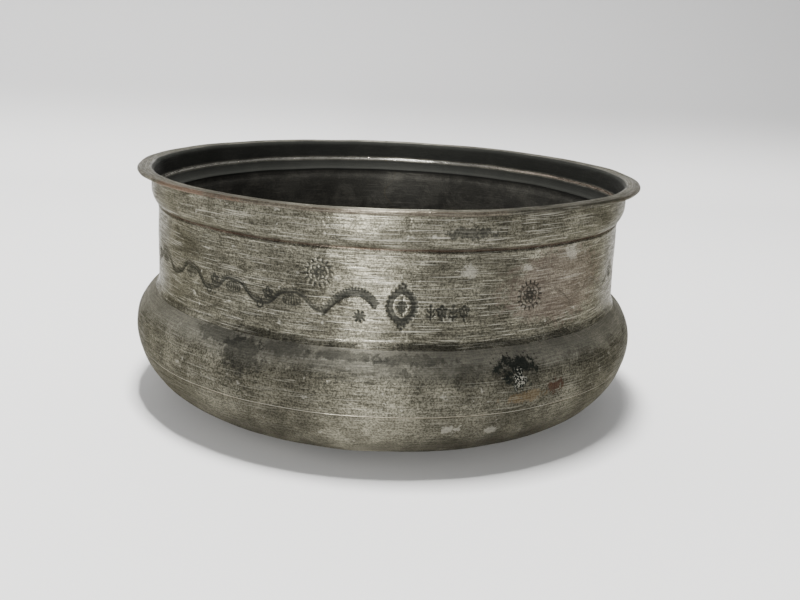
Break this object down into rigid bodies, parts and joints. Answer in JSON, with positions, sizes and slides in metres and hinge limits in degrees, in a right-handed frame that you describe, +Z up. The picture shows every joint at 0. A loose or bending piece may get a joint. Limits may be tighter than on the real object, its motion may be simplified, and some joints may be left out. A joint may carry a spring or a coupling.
{
  "type": "shaving bowl",
  "caption": "Squat round metal shaving bowl with a turned-out lip, stepped collar, straight engraved neck, bulging belly and flat base.",
  "frame": {"origin": "centre of the flat base, on the surface that the bowl stands on", "axes": "+Z up along the bowl's axis, -Y the engraved front, +Y the side seam at the back"},
  "size_m": [0.2026, 0.2026, 0.0906],
  "materials": {
    "wall_tin": "worn hand-wiped tin over copper sheet, fine turning lines, engraved band",
    "pan_tin": "worn hand-wiped tin over hammered copper sheet",
    "side_spelter": "dull brazing brass",
    "bottom_spelter": "dull brazing brass"
  },
  "bodies": {
    "root": {"side_wall": "wall_tin", "bottom_pan": "pan_tin", "side_seam_braze": "side_spelter", "bottom_seam_braze": "bottom_spelter"}
  },
  "joints": []
}
